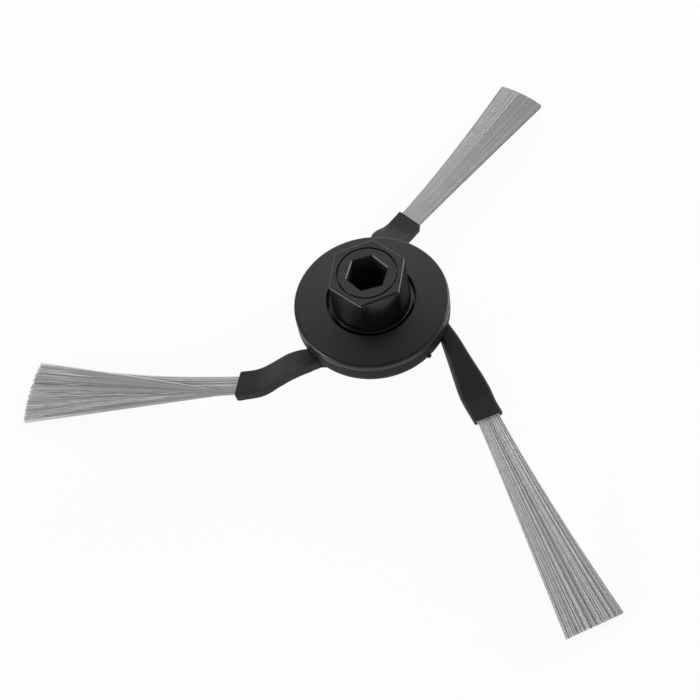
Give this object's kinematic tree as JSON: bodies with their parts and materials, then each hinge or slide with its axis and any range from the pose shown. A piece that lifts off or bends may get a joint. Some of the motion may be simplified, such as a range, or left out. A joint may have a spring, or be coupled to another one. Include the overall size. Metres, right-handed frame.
{
  "type": "robot vacuum side brush",
  "caption": "Rotating side brush for a robot vacuum: round hub with a hexagonal drive boss and socket, and swept soft arms that each carry a flat fan of bristles.",
  "frame": {"origin": "on the turning axis, at the mouth of the drive socket in the boss's top face", "axes": "+Z along the turning axis, out of the socket and away from the floor; the first arm heads 48 degrees from +X towards +Y"},
  "size_m": [0.1429, 0.1543, 0.038],
  "materials": {
    "bush_plastic": "satin black moulded plastic",
    "boss_plastic": "satin black moulded plastic",
    "disc_plastic": "satin black moulded plastic",
    "arm_rubber": "matt black soft rubber",
    "bristle_nylon": "grey nylon filament"
  },
  "bodies": {
    "root": {"socket_bush": "bush_plastic", "drive_boss": "boss_plastic", "cover_disc": "disc_plastic", "arm_spider": "arm_rubber", "bristle_tuft_1": "bristle_nylon", "bristle_tuft_2": "bristle_nylon", "bristle_tuft_3": "bristle_nylon"}
  },
  "joints": []
}
